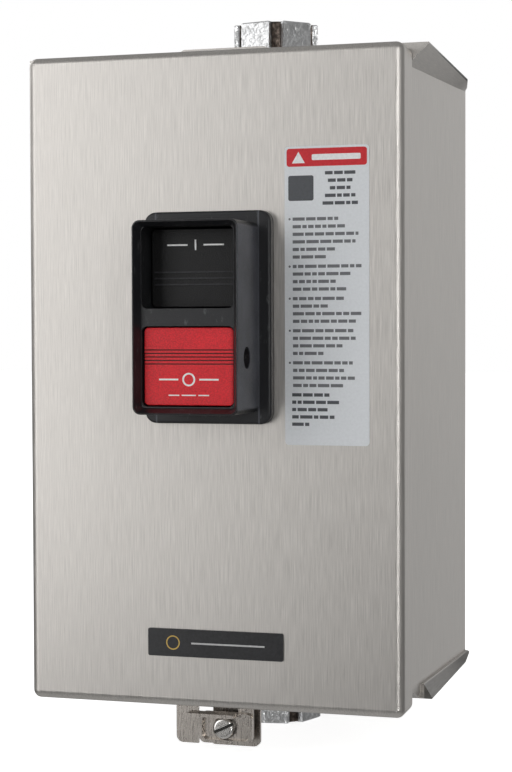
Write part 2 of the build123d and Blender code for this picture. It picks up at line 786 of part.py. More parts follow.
def coil_winding():
    """Copper winding between the bobbin's flanges."""
    back = core_back + core_yoke + 0.2 + bobbin_wall
    front = core_front - 0.3 - bobbin_wall
    tube_x = core_centre / 2 + 0.2 + bobbin_wall
    tube_z = core_stack / 2 + 0.2 + bobbin_wall
    half_x, half_z = bobbin_half[0] - 1.0, bobbin_half[1] - 1.0
    coil = front_plate(
        rounded((-half_x, half_x), (contactor_mid - half_z, contactor_mid + half_z), 3), back, front)
    return coil - block((-tube_x, tube_x), (0, 100), (contactor_mid - tube_z, contactor_mid + tube_z))


def armature():
    """Laminated bar that the magnet pulls in."""
    zs = (contactor_mid - core_stack / 2, contactor_mid + core_stack / 2)
    return block((-core_half, core_half), (armature_back, foot_back), zs)


def contact_carrier():
    """Moulded crossbar: foot on the armature and a post with a window for each moving contact."""
    foot_x, foot_z = foot_half
    foot_zs = (contactor_mid - foot_z, contactor_mid + foot_z)
    carrier = block((-foot_x, foot_x), (foot_back, foot_front), foot_zs)
    post_zs = (contactor_mid - post_half_z, contactor_mid + post_half_z)
    carrier += block((-post_half_x, post_half_x), (foot_front, bridge_back + 12), post_zs)
    for x in pole_x:
        half = strip_width / 2 + 0.3
        window = block((x - half, x + half), (bridge_back, bridge_back + 8), (0, 2 * contactor_mid))
        carrier -= window
    return carrier


def moving_contacts():
    """One bridge with two round tips for each pole."""
    bridges = []
    for x in pole_x:
        half = strip_width / 2
        zs = (contactor_mid - bridge_length / 2, contactor_mid + bridge_length / 2)
        bridge = block((x - half, x + half), (bridge_back, bridge_back + bridge_thick), zs)
        for z in (contactor_mid - tip_offset, contactor_mid + tip_offset):
            bridge += rod(x, z, tip_r, bridge_back - tip_thick, bridge_back)
        bridges.append(bridge)
    return bridges


def contact_springs():
    """Small springs that press the bridges home in their windows."""
    start = bridge_back + bridge_thick
    return [coil_spring(x, contactor_mid, start, bridge_back + 8, 2.0, 0.35, 3) for x in pole_x]


def return_springs():
    """Two springs that push the crossbar forward."""
    start = core_front - 0.3
    return [coil_spring(0, contactor_mid + dz, start, foot_back, 2.4, 0.4, 5) for dz in (-14.5, 14.5)]


def arc_chamber():
    """Arc housing: raised middle with a chamber for each pole, and terminal shoulders at both ends."""
    xs = (-contactor_half, contactor_half)
    body = block(xs, (base_front, arc_front), (contactor_mid - arc_half, contactor_mid + arc_half))
    body += block(xs, (base_front, shoulder), (contactor_z[0], contactor_z[1] - 9))
    for x in [-contactor_half + 1, -pole_pitch / 2, pole_pitch / 2, contactor_half - 1]:
        body += block((x - 1, x + 1), (shoulder, arc_front - 8), (contactor_z[0], contactor_z[1] - 9))
    room = (contactor_mid - arc_half + 2.5, contactor_mid + arc_half - 2.5)
    for x in pole_x:
        half = pole_pitch / 2 - 1.2
        body -= block((x - half, x + half), (shoulder, arc_front + 1), room)
        slot = strip_width / 2 + 0.2
        body -= block((x - slot, x + slot), (shoulder, strip_front + 0.3), (0, 2 * contactor_mid))
    post_x, post_z = post_half_x + carrier_gap, post_half_z + carrier_gap
    post_zs = (contactor_mid - post_z, contactor_mid + post_z)
    body -= block((-post_x, post_x), (foot_front - 3, arc_front + 1), post_zs)
    foot_x, foot_z = core_half + carrier_gap, foot_half[1] + carrier_gap
    foot_room = (base_front - 1, max(foot_front, base_front) + carrier_gap)
    body -= block((-foot_x, foot_x), foot_room, (contactor_mid - foot_z, contactor_mid + foot_z))
    for x, z in terminal_places():
        body -= rod(x, z, 2.1, base_front + 1, shoulder + 1)
    return body


def terminal_places():
    """Terminal screw places: line side at the top, load side at the bottom."""
    zs = (contactor_z[1] - 9 - terminal_z, contactor_z[0] + terminal_z)
    return [(x, z) for z in zs for x in pole_x]


def fixed_contacts(top):
    """Terminal strips with a contact tip, for the line side or the load side."""
    side = 1 if top else -1
    outer = contactor_z[1] - 10 if top else contactor_z[0] + 1
    strips = []
    for x in pole_x:
        start = contactor_mid + side * (tip_offset - tip_r - 0.4)
        zs = (min(start, outer), max(start, outer))
        strip = block((x - strip_width / 2, x + strip_width / 2), (shoulder, strip_front), zs)
        strip += rod(x, contactor_mid + side * tip_offset, tip_r, strip_front, fixed_tip)
        hole_z = terminal_places()[0][1] if top else terminal_places()[-1][1]
        strips.append(strip - rod(x, hole_z, 2.0, 0, arc_front))
    return strips


def terminal_screws():
    """Slotted terminal screws of the contactor."""
    screws = []
    for x, z in terminal_places():
        seat = strip_front if z > contactor_mid else strip_front + strip_thick
        screws.append(screw(x, z, 1.9, terminal_r, base_front + 4, seat, 2.4))
    return screws


def contactor_front():
    """Front cover of the arc chamber with an indicator window."""
    xs = (-contactor_half, contactor_half)
    zs = (contactor_mid - arc_half, contactor_mid + arc_half)
    front = block(xs, (arc_front, block_back), zs)
    window_x = (contactor_half - 14, contactor_half - 6)
    return front - block(window_x, (0, 2 * block_back), (contactor_mid + 12, contactor_mid + 20))


def coil_terminals():
    """Two coil tabs that stand out of the magnet housing's top wall."""
    high = contactor_z[1] - 9
    return [block((x - 3, x + 3), (base_front - 8, base_front - 7), (high, high + 7)) for x in (-16, 16)]


# ---------------------------------------------------------------- start contact block
def start_block():
    """Contact block on the contactor's front with a bore for its plunger."""
    zs = (start_z - block_reach[0], start_z + block_reach[1])
    body = front_plate(rounded((-block_half, block_half), zs, 1.5), block_back, block_front)
    body -= rod(start_stem_x, start_z, plunger_r + running_gap, block_back + 2, block_front + 1)
    body -= block((-8.5, 8.5), (block_back + 1.5, block_back + 12), (start_z - 4.5, start_z + 4.5))
    return body


def start_plunger():
    """Plunger with a collar that carries the bridging contact."""
    body = rod(start_stem_x, start_z, plunger_r, block_front - 6, start_tip)
    body += rod(start_stem_x, start_z, plunger_r, block_back + 10.4, block_front - 6)
    body += block((-7.5, 7.5), (block_back + 9.2, block_back + 10.4), (start_z - 3, start_z + 3))
    return fillet(body.faces().sort_by(Axis.Y)[0].edges(), 0.8)


def start_contacts():
    """Fixed contacts of the start block."""
    ds = (block_back + 1.5, block_back + 2.7)
    return [block((x - 2, x + 2), ds, (start_z - 3, start_z + 3)) for x in (-6, 6)]


def start_contact_spring():
    """Return spring behind the plunger."""
    return coil_spring(start_stem_x, start_z, block_back + 1.5, block_back + 9.2, 2.2, 0.35, 4)


# ---------------------------------------------------------------- overload relay
def relay_case():
    """Relay housing, open to the front, with terminal shoulder and ears at the bottom."""
    xs = (-contactor_half, contactor_half)
    low, high = relay_z
    case = block(xs, (plate_front, relay_front), (relay_shoulder_z, high))
    case += block(xs, (plate_front, motor_front), (low + 9, relay_shoulder_z))
    case += block(xs, (plate_front, plate_front + 3), (low, low + 9))
    case -= block(
        (xs[0] + case_wall, xs[1] - case_wall), (plate_front + 3, relay_front + 1),
        (relay_shoulder_z + case_wall, high - case_wall))
    for x in [-contactor_half + 1, -pole_pitch / 2, pole_pitch / 2, contactor_half - 1]:
        case += block((x - 1, x + 1), (motor_front, motor_front + 14), (low + 9, relay_shoulder_z))
    for x in pole_x:
        slot = strip_width / 2 + 0.2
        stab_ds = (strip_front - 0.1, strip_front + strip_thick + 0.2)
        case -= block((x - slot, x + slot), stab_ds, (high - 5, high + 1))
        motor_ds = (motor_front, motor_front + strip_thick + 0.2)
        case -= block((x - slot, x + slot), motor_ds, (relay_shoulder_z - 1, relay_shoulder_z + 5))
        case -= rod(x, motor_screw_z(), 2.1, plate_front + 10, motor_front + 1)
    for x, z in device_screws()[2:]:
        case -= rod(x, z, 1.8 + running_gap, 0, plate_front + 5)
    for rail in trip_rails():
        case += rail
    return case + reset_spring_post()


def motor_screw_z():
    """Height of the motor terminal screws."""
    return relay_z[0] + 9 + terminal_z - 2


def stab_strips():
    """Strips from the contactor's load terminals into the relay."""
    d0, d1 = strip_front, strip_front + strip_thick
    strips = []
    for x in pole_x:
        half = strip_width / 2
        strip = block((x - half, x + half), (d0, d1), (relay_z[1] - 6, contactor_z[0] + terminal_z + 4))
        strips.append(strip - rod(x, terminal_places()[-1][1], 2.0, 0, arc_front))
    return strips


def motor_terminals():
    """Strips out of the relay with their contact pads for the motor wires."""
    strips = []
    for x in pole_x:
        half = strip_width / 2
        strip = block((x - half, x + half), (motor_front, motor_front + strip_thick),
                      (relay_z[0] + 10, relay_shoulder_z + 10))
        strips.append(strip - rod(x, motor_screw_z(), 2.0, 0, relay_front))
    return strips


def motor_screws():
    """Slotted screws of the motor terminals."""
    seat = motor_front + strip_thick
    return [screw(x, motor_screw_z(), 1.9, terminal_r, seat - 8, seat, 2.4) for x in pole_x]


def heater_coils():
    """Heater of each pole: a coil round its bimetal, from the stab to the motor strip."""
    low = relay_shoulder_z + 10
    high = relay_z[1] - 6
    depth = strip_front + strip_thick / 2 - heater_coil_r
    length = high - low - 2 * heater_wire_r - 16
    heaters = []
    for x in pole_x:
        helix = Helix(pitch=length / 5, height=length, radius=heater_coil_r)
        section = Plane(origin=helix @ 0, z_dir=helix % 0) * Circle(heater_wire_r)
        heaters.append(Pos(x, -depth, low + 7) * sweep(section, path=helix))
    return heaters


def bimetal_strips():
    """Bimetal of each pole, inside its heater, with its foot in the case."""
    depth = strip_front + strip_thick / 2 - heater_coil_r
    low, high = relay_shoulder_z + case_wall, relay_z[1] - 10
    strips = []
    for x in pole_x:
        strip = block((x - 0.6, x + 0.6), (depth - 2, depth + 2), (low, high))
        foot = block((x - 2.5, x + 2.5), (motor_front + strip_thick, depth + 2), (low, low + 3))
        strips.append(strip + foot)
    return strips


def trip_depth():
    """Depth of the trip bar's middle, behind the heaters."""
    return strip_front - 2 * heater_coil_r - heater_wire_r - 5


def trip_bar():
    """Sliding bar with a finger beside the top of each bimetal."""
    d = trip_depth()
    bar = block((-28, 28), (d - 1.5, d + 1.5), trip_bar_z)
    reach = strip_front + strip_thick / 2 - heater_coil_r + 1
    for x in pole_x:
        bar += block((x - 2.8, x - 1.1), (d, reach), (trip_bar_z[1] - 1.2, trip_bar_z[1]))
    return bar


def trip_rails():
    """Guide blocks on the case floor in which the trip bar slides."""
    d = trip_depth()
    low, high = trip_bar_z
    gap = 1.5 + running_gap
    rails = []
    for x in (-pole_pitch, pole_pitch):
        rail = block((x + 2.5, x + 4.5), (plate_front + 3, d + 3), (low - 3, high + 1.5))
        rail -= block((x, x + 5), (d - gap, d + 5), (low - running_gap, high + 5))
        rails.append(rail)
    return rails


def relay_cover():
    """Front cover of the relay with holes for the reset plunger and the current dial."""
    xs = (-contactor_half, contactor_half)
    cover = block(xs, (relay_front, relay_face), (relay_shoulder_z, relay_z[1]))
    cover = fillet(cover.faces().sort_by(Axis.Y)[0].edges(), 1.0)
    cover += rod(stop_stem_x, stop_z, plunger_r + 2.0, relay_front - 4, relay_front)
    cover -= rod(stop_stem_x, stop_z, plunger_r + running_gap, 0, 2 * relay_face)
    return cover - rod(dial_x, dial_z, dial_stem_r + running_gap, 0, 2 * relay_face)


def reset_plunger():
    """Plunger that the stop button pushes."""
    body = rod(stop_stem_x, stop_z, plunger_r, relay_front - 14, reset_tip)
    body += rod(stop_stem_x, stop_z, plunger_r + 1.4, relay_front - 16, relay_front - 14)
    return fillet(body.faces().sort_by(Axis.Y)[0].edges(), 0.8)


def reset_spring():
    """Spring behind the reset plunger."""
    start = relay_front - reset_post_drop
    return coil_spring(stop_stem_x, stop_z, start, relay_front - 16, 2.4, 0.4, 6)


def reset_spring_post():
    """Post on the case floor that the reset spring stands on."""
    half = reset_post_half
    return block(
        (stop_stem_x - half, stop_stem_x + half), (plate_front + 3, relay_front - reset_post_drop),
        (stop_z - half, stop_z + half))


def current_dial():
    """Setting dial with a screwdriver slot."""
    dial = rod(dial_x, dial_z, dial_r, relay_face + 0.3, relay_face + 0.3 + dial_height)
    dial = fillet(dial.edges().filter_by(GeomType.CIRCLE).sort_by(Axis.Y)[0], 0.8)
    dial += rod(dial_x, dial_z, dial_stem_r, relay_front - 8, relay_face + 0.3)
    front = relay_face + 0.3 + dial_height
    dial -= block((dial_x - 5, dial_x + 5), (front - 1.5, front + 1), (dial_z - 0.6, dial_z + 0.6))
    return dial


# ---------------------------------------------------------------- write every node
os.makedirs("parts", exist_ok=True)

save("body_wrap", body_wrap())
save("top_end_plate", top_end_plate())
save("bottom_end_plate", bottom_end_plate())
save("latch_bracket", latch_bracket())
save("ground_lug", ground_lug())
save("ground_screw", ground_screw())

save("cover_pan", cover_pan())
save("cover_gasket", cover_gasket())
save("latch_plate", latch_plate())
save("cover_screw", cover_screw())
save("screw_clip", screw_clip())
save("caution_label", caution_label())
save("nameplate", nameplate())

save("operator_housing", operator_housing())
save("operator_seal", operator_seal())
save("operator_back_plate", operator_back_plate())
save_group("operator_screws", operator_screw_set())
save("start_button", start_button())
save("stop_button", stop_button())
save("start_button_spring", button_spring(start_stem_x, start_z, cover_face + start_reach))
save("stop_button_spring", button_spring(stop_stem_x, stop_z, cover_face + stop_reach))

for place, sign, level, turn in (("top", 1, top_out, hub_turn[0]), ("bottom", -1, bottom_out, hub_turn[1])):
    save(f"hub_{place}", hub(sign, level, turn))
save_group("hub_seals", [hub_seal(1, top_out), hub_seal(-1, bottom_out)])
save_group("hub_locknuts", [hub_locknut(1, top_out), hub_locknut(-1, bottom_out)])

save("mounting_plate", mounting_plate())
save_group("standoffs", standoffs())
save_group("plate_nuts", plate_nuts())
save_group("device_screws", device_screw_set())

save("contactor_base", contactor_base())
save("magnet_core", magnet_core())
save("coil_bobbin", coil_bobbin())
save("coil_winding", coil_winding())
save("armature", armature())
save("contact_carrier", contact_carrier())
save_group("moving_contacts", moving_contacts())
save_group("contact_springs", contact_springs())
save_group("return_springs", return_springs())
save("arc_chamber", arc_chamber())
save_group("line_terminals", fixed_contacts(True))
save_group("load_terminals", fixed_contacts(False))
save_group("terminal_screws", terminal_screws())
save("contactor_front", contactor_front())
save_group("coil_terminals", coil_terminals())

save("start_block", start_block())
save("start_plunger", start_plunger())
save_group("start_contacts", start_contacts())
save("start_contact_spring", start_contact_spring())

save("relay_case", relay_case())
save_group("stab_strips", stab_strips())
save_group("motor_terminals", motor_terminals())
save_group("motor_screws", motor_screws())
save_group("heater_coils", heater_coils())
save_group("bimetal_strips", bimetal_strips())
save("trip_bar", trip_bar())
save("relay_cover", relay_cover())
save("reset_plunger", reset_plunger())
save("reset_spring", reset_spring())
save("current_dial", current_dial())
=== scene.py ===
import json
import math
import random

import bmesh
import bpy
from mathutils import Matrix, Vector


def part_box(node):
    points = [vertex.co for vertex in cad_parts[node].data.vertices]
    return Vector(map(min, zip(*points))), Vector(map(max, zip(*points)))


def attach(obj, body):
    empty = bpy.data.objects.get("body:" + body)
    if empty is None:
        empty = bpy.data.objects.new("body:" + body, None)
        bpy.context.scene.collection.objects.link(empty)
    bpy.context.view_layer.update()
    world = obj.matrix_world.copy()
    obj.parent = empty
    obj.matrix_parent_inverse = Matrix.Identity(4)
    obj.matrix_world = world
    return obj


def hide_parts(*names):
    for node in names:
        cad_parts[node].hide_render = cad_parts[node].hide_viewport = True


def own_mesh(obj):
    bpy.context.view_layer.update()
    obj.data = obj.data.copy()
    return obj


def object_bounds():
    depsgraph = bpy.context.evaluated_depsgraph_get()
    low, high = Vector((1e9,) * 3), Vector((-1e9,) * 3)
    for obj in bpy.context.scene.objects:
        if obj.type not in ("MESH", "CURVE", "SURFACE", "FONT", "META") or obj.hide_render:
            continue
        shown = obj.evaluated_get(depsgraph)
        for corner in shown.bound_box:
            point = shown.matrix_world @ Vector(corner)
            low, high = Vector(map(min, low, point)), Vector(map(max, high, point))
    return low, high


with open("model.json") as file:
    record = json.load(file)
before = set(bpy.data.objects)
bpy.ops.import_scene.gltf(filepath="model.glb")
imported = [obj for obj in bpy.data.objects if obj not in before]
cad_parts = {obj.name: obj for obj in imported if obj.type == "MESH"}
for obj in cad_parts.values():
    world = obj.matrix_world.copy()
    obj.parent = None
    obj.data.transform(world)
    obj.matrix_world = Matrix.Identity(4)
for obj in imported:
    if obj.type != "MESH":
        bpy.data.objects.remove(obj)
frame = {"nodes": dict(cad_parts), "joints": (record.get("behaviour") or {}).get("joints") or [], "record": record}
cad_low, cad_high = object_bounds()

MM = 0.001
EDGE = 0.1 * MM              # width of a sharp change of shade
BRUSH_RELIEF = 0.04 * MM
CAST_CONTRAST = 0.12
HUB_AXIS_Y = -0.060
HUB_CORE_R = 18.0 * MM       # the gaps between a hub's facets lie inside this; they are painted dark, as shade
MIX_FACTOR, MIX_FIRST, MIX_SECOND, MIX_RESULT = 0, 6, 7, 2  # sockets of the colour Mix node


# ---------------------------------------------------------------- node helpers
def shade(colour, factor):
    return tuple(min(1.0, c * factor) for c in colour)


class Shader:
    """A Principled material and short ways to add the nodes that feed it."""

    def __init__(self, name, colour, rough, metallic=0.0, **sockets):
        self.mat = bpy.data.materials.new(name)
        self.mat.use_nodes = True
        self.tree = self.mat.node_tree
        self.bsdf = self.tree.nodes["Principled BSDF"]
        self.bsdf.inputs["Base Color"].default_value = (*colour, 1)
        self.bsdf.inputs["Roughness"].default_value = rough
        self.bsdf.inputs["Metallic"].default_value = metallic
        for socket, value in sockets.items():
            self.bsdf.inputs[socket.replace("_", " ")].default_value = value
        self.place = self.add("ShaderNodeTexCoord").outputs["Object"]
        self.height = None

    def add(self, kind, **settings):
        node = self.tree.nodes.new(kind)
        for key, value in settings.items():
            setattr(node, key, value)
        return node

    def join(self, source, target):
        self.tree.links.new(source, target)

    def noise(self, scale, detail=3.0, rough=0.55):
        """Noise in cells to a metre, with one scale for all axes or one for each."""
        mapping = self.add("ShaderNodeMapping")
        mapping.inputs["Scale"].default_value = scale if hasattr(scale, "__len__") else (scale,) * 3
        self.join(self.place, mapping.inputs["Vector"])
        node = self.add("ShaderNodeTexNoise")
        node.inputs["Scale"].default_value = 1.0
        node.inputs["Detail"].default_value = detail
        node.inputs["Roughness"].default_value = rough
        self.join(mapping.outputs["Vector"], node.inputs["Vector"])
        return node.outputs["Fac"]

    def wave(self, scale, direction, distortion=0.0):
        """Even bands across one axis, in bands to a metre."""
        node = self.add("ShaderNodeTexWave", bands_direction=direction)
        node.inputs["Scale"].default_value = scale
        node.inputs["Distortion"].default_value = distortion
        self.join(self.place, node.inputs["Vector"])
        return node.outputs["Fac"]

    def reach(self, x=0.0, y=0.0, z=0.0):
        """Weighted sum of the size of x, y and z, in metres."""
        apart = self.add("ShaderNodeSeparateXYZ")
        self.join(self.place, apart.inputs["Vector"])
        side = self.add("ShaderNodeMath", operation="ABSOLUTE")
        self.join(apart.outputs["X"], side.inputs[0])
        total = None
        parts = ((side.outputs[0], x), (apart.outputs["Y"], y), (apart.outputs["Z"], z))
        for source, weight in parts:
            node = self.add("ShaderNodeMath", operation="MULTIPLY_ADD")
            self.join(source, node.inputs[0])
            node.inputs[1].default_value = weight
            if total is None:
                node.inputs[2].default_value = 0.0
            else:
                self.join(total, node.inputs[2])
            total = node.outputs[0]
        return total

    def radius(self, x, y):
        """Distance from a vertical axis through x and y, in metres."""
        shift = self.add("ShaderNodeVectorMath", operation="ADD")
        shift.inputs[1].default_value = (-x, -y, 0)
        self.join(self.place, shift.inputs[0])
        flat = self.add("ShaderNodeVectorMath", operation="MULTIPLY")
        flat.inputs[1].default_value = (1, 1, 0)
        self.join(shift.outputs["Vector"], flat.inputs[0])
        length = self.add("ShaderNodeVectorMath", operation="LENGTH")
        self.join(flat.outputs["Vector"], length.inputs[0])
        return length.outputs["Value"]

    def spread(self, source, low, high, to_low=0.0, to_high=1.0):
        """Stretches a value from low..high to to_low..to_high."""
        node = self.add("ShaderNodeMapRange")
        limits = {"From Min": low, "From Max": high, "To Min": to_low, "To Max": to_high}
        for socket, value in limits.items():
            node.inputs[socket].default_value = value
        self.join(source, node.inputs["Value"])
        return node.outputs["Result"]

    def blend(self, factor, first, second):
        """Colour mix. Factor is an output, and first and second are colours or outputs."""
        node = self.add("ShaderNodeMix", data_type="RGBA")
        self.join(factor, node.inputs[MIX_FACTOR])
        for socket, value in ((node.inputs[MIX_FIRST], first), (node.inputs[MIX_SECOND], second)):
            if hasattr(value, "links"):
                self.join(value, socket)
            else:
                socket.default_value = (*value, 1)
        return node.outputs[MIX_RESULT]

    def past(self, base, colour, weights, limit, change, width=EDGE):
        """Base, and another shade of the colour where the weighted reach is past the limit."""
        beyond = self.spread(self.reach(*weights), limit, limit + width)
        return self.blend(beyond, base, shade(colour, change))

    def colour(self, source):
        self.join(source, self.bsdf.inputs["Base Color"])

    def rough(self, source):
        self.join(source, self.bsdf.inputs["Roughness"])

    def bump(self, source, depth, strength=1.0):
        """Adds relief of a depth in metres. Several calls stack."""
        node = self.add("ShaderNodeBump")
        node.inputs["Strength"].default_value = strength
        node.inputs["Distance"].default_value = depth
        self.join(source, node.inputs["Height"])
        if self.height is not None:
            self.join(self.height, node.inputs["Normal"])
        self.height = node.outputs["Normal"]
        self.join(self.height, self.bsdf.inputs["Normal"])


def brushed(name, colour, rough, grain, contrast=0.16, anisotropic=0.5, painted_shade=None):
    """Brushed sheet. Grain is the noise scale for each axis: small along the brushing.

    The last argument (weights, limit, change, width), as Shader.past takes them, paints shade: darker past the
    limit.
    """
    s = Shader(name, colour, rough, 1.0, Anisotropic=anisotropic)
    tangent = s.add("ShaderNodeTangent", direction_type="RADIAL", axis="Z")
    s.join(tangent.outputs["Tangent"], s.bsdf.inputs["Tangent"])
    fine = s.noise(grain, 4.0, 0.6)
    wide = s.noise(tuple(g * 0.22 for g in grain), 2.0)
    cloud = s.noise(14, 2.0)
    base = s.blend(s.spread(fine, 0.3, 0.7), shade(colour, 1 - contrast), shade(colour, 1 + contrast))
    base = s.blend(s.spread(wide, 0.35, 0.65, 0, 0.13), base, shade(colour, 1 - contrast))
    base = s.blend(s.spread(cloud, 0.3, 0.7, 0, 0.12), base, shade(colour, 1.2))
    # painted shade past the limit of the weighted reach
    if painted_shade:
        base = s.past(base, colour, *painted_shade)
    s.colour(base)
    s.rough(s.spread(fine, 0.3, 0.7, rough - 0.06, rough + 0.06))
    s.bump(fine, BRUSH_RELIEF, 0.6)
    return s.mat


def cast(name, colour, rough, pitch, relief, painted_light_step=None):
    """Hammered or as-cast metal. A step (weights, limit, change), as Shader.past takes them, paints shade past a
    limit.
    """
    s = Shader(name, colour, rough, 1.0)
    lumps = s.noise(pitch, 2.0, 0.5)
    fine = s.noise(pitch * 6, 3.0)
    low, high = shade(colour, 1 - CAST_CONTRAST), shade(colour, 1 + CAST_CONTRAST)
    base = s.blend(s.spread(lumps, 0.3, 0.7), low, high)
    # painted shade past the limit of the weighted reach
    if painted_light_step:
        base = s.past(base, colour, *painted_light_step)
    s.colour(base)
    s.rough(s.spread(fine, 0.3, 0.7, rough - 0.07, rough + 0.09))
    s.bump(lumps, relief)
    s.bump(fine, relief * 0.12)
    return s.mat


def plated_hub(name, colour, rough):
    """Zinc-plated casting, with painted shade in the gaps between its facets."""
    s = Shader(name, colour, rough, 1.0)
    lumps = s.noise(420, 2.0, 0.5)
    fine = s.noise(2400, 3.0)
    base = s.blend(s.spread(lumps, 0.3, 0.7), shade(colour, 0.84), shade(colour, 1.14))
    pits = s.noise(1100, 3.0, 0.6)
    base = s.blend(s.spread(pits, 0.60, 0.72, 0, 0.6), base, shade(colour, 0.3))
    # painted shade: the gaps inside the core radius are darker
    gap = s.spread(s.radius(0, HUB_AXIS_Y), HUB_CORE_R, HUB_CORE_R + 0.6 * MM, 1, 0)
    painted_gap_shade = s.blend(s.spread(lumps, 0.3, 0.7), (0.035, 0.028, 0.024), (0.16, 0.13, 0.11))
    s.colour(s.blend(gap, base, painted_gap_shade))
    s.rough(s.spread(fine, 0.3, 0.7, rough - 0.07, rough + 0.09))
    s.bump(lumps, 0.6 * MM)
    s.bump(fine, 0.06 * MM)
    return s.mat


def moulded(name, colour, rough, grain, relief, contrast=0.2, wear=0.0, side=None, painted_light_step=None, **sockets):
    """Moulded plastic with a spark-eroded grain, faint mottling and scuffs.

    Side is how far out in x the flanks begin and end that are painted paler: painted light on the side walls.
    A step (weights, limit, change), as Shader.past takes them, paints shade into grooves and a highlight onto
    ribs.
    """
    s = Shader(name, colour, rough, 0.0, **sockets)
    fine = s.noise(grain, 2.0, 0.6)
    cloud = s.noise(60, 3.0)
    base = s.blend(s.spread(fine, 0.35, 0.65), shade(colour, 1 - contrast), shade(colour, 1 + contrast))
    base = s.blend(s.spread(cloud, 0.35, 0.7, 0, 0.3), base, shade(colour, 1.35))
    if wear:
        scuffs = s.noise((320, 900, 140), 4.0, 0.7)
        base = s.blend(s.spread(scuffs, 0.6, 0.75, 0, wear), base, (0.16, 0.16, 0.165))
    # painted light: the side walls between the two reaches in x are made paler, as if lit
    if side:
        painted_lit_flank = s.blend(s.spread(cloud, 0.3, 0.7), shade(colour, 5), shade(colour, 9))
        out = s.reach(x=1.0)
        painted_lit_flank = s.blend(s.spread(out, side[1], side[1] + EDGE), painted_lit_flank, base)
        base = s.blend(s.spread(out, side[0], side[0] + 2 * EDGE), base, painted_lit_flank)
    # painted highlight on the start button's rib tops and painted shade in the stop button's grooves
    if painted_light_step:
        base = s.past(base, colour, *painted_light_step)
    s.colour(base)
    s.rough(s.spread(fine, 0.3, 0.7, rough - 0.08, rough + 0.08))
    s.bump(fine, relief)
    return s.mat


def printed(name, colour, rough, contrast=0.08):
    """Ink or vinyl with a faint mottle."""
    s = Shader(name, colour, rough)
    mottle = s.noise(900, 2.0)
    s.colour(s.blend(s.spread(mottle, 0.3, 0.7), shade(colour, 1 - contrast), shade(colour, 1 + contrast)))
    s.rough(s.spread(mottle, 0.3, 0.7, rough - 0.05, rough + 0.05))
    s.bump(s.noise(250, 2.0), 0.01 * MM)
    return s.mat


def wound(name, colour, rough, scale, direction, relief, metallic=1.0, contrast=0.25):
    """Wire winding, laminations or other even lines."""
    s = Shader(name, colour, rough, metallic)
    lines = s.wave(scale, direction, 0.2)
    mottle = s.noise(700, 2.0)
    base = s.blend(lines, shade(colour, 1 - contrast), shade(colour, 1 + contrast))
    s.colour(s.blend(s.spread(mottle, 0.4, 0.7, 0, 0.4), base, shade(colour, 0.8)))
    s.rough(s.spread(mottle, 0.3, 0.7, rough - 0.06, rough + 0.06))
    s.bump(lines, relief)
    return s.mat


# ---------------------------------------------------------------- materials of the CAD nodes
STEEL = (0.60, 0.575, 0.545)
VERTICAL = (3000, 3000, 70)          # brushing up and down, on the cover and the wrap
ALONG_PLATE = (2300, 110, 2300)      # brushing front to back, on the end plates
rib_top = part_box("start_button")[0].y
groove_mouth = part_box("stop_button")[0].y
screw_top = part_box("cover_screw")[0].y

sheet_metal = brushed("brushed_stainless", STEEL, 0.40, VERTICAL, 0.2)
# painted shade: the end plates' flares out past the cover are darker
top_metal = brushed("top_plate_stainless", shade(STEEL, 0.85), 0.38, ALONG_PLATE,
                    painted_shade=((1, 0.034, 0), 83.1 * MM, 0.12, 0.2 * MM))
bottom_metal = brushed("bottom_plate_stainless", shade(STEEL, 0.85), 0.38, ALONG_PLATE,
                       painted_shade=((1, 0, 0), 80.4 * MM, 0.42, 0.4 * MM))
latch_metal = brushed("latch_stainless", (0.52, 0.48, 0.44), 0.28, (1500, 1500, 160), 0.12, 0.3)
zinc = plated_hub("hammered_zinc", (0.74, 0.745, 0.75), 0.36)
screw_metal = cast("plated_screw", (0.72, 0.71, 0.68), 0.22, 1500, 0.00003)
# painted shade: the screw is darker more than 1.1 mm behind the front of its head
latch_screw = cast("latch_screw", (0.74, 0.72, 0.69), 0.24, 900, 0.00002,
                   painted_light_step=((0, 1, 0), screw_top + 1.1 * MM, 0.10))
yellow_plate = brushed("plated_sheet", (0.66, 0.64, 0.56), 0.38, (500, 500, 500), 0.08, 0.0)
# the housing's side walls are painted paler, as painted light
black = moulded("black_housing", (0.012, 0.0125, 0.0145), 0.36, 2600, 0.00009, 0.3, 0.6, (0.0217, 0.0224),
                Specular_IOR_Level=0.45)
# painted highlight: the tops of the ribs are lighter
black_button = moulded("black_button", (0.004, 0.004, 0.0045), 0.36, 1900, 0.00014, 0.4,
                       painted_light_step=((0, -1, 0), -rib_top - 0.3 * MM, 7.0), Specular_IOR_Level=0.3)
# painted shade: the floors of the grooves are darker
red = moulded("red_button", (0.70, 0.016, 0.026), 0.38, 1900, 0.00014, 0.22,
              painted_light_step=((0, 1, 0), groove_mouth + 0.1 * MM, 0.12), Specular_IOR_Level=0.4)
rubber = moulded("gasket_foam", (0.022, 0.022, 0.022), 0.85, 1800, 0.00025, 0.3)
label_film = printed("label_film", (0.80, 0.825, 0.85), 0.35, 0.03)
charcoal = printed("nameplate_ink", (0.022, 0.022, 0.024), 0.34, 0.2)
case = moulded("dark_moulding", (0.045, 0.045, 0.048), 0.5, 2400, 0.00005)
light_case = moulded("light_moulding", (0.62, 0.60, 0.54), 0.5, 2400, 0.00004, 0.08)
blue = moulded("dial_moulding", (0.04, 0.11, 0.36), 0.42, 2400, 0.00004)
iron = wound("laminated_iron", (0.30, 0.30, 0.31), 0.42, 310, "Z", 0.00008)
copper = cast("bare_copper", (0.74, 0.44, 0.28), 0.32, 700, 0.00002)
brass = cast("plated_brass", (0.72, 0.60, 0.38), 0.32, 700, 0.00002)
winding = wound("enamelled_winding", (0.46, 0.16, 0.06), 0.3, 300, "Y", 0.0002, 0.8)
heater = cast("heater_alloy", (0.42, 0.36, 0.31), 0.35, 900, 0.00002)
spring_wire = cast("spring_wire", (0.58, 0.59, 0.61), 0.28, 1600, 0.00001)

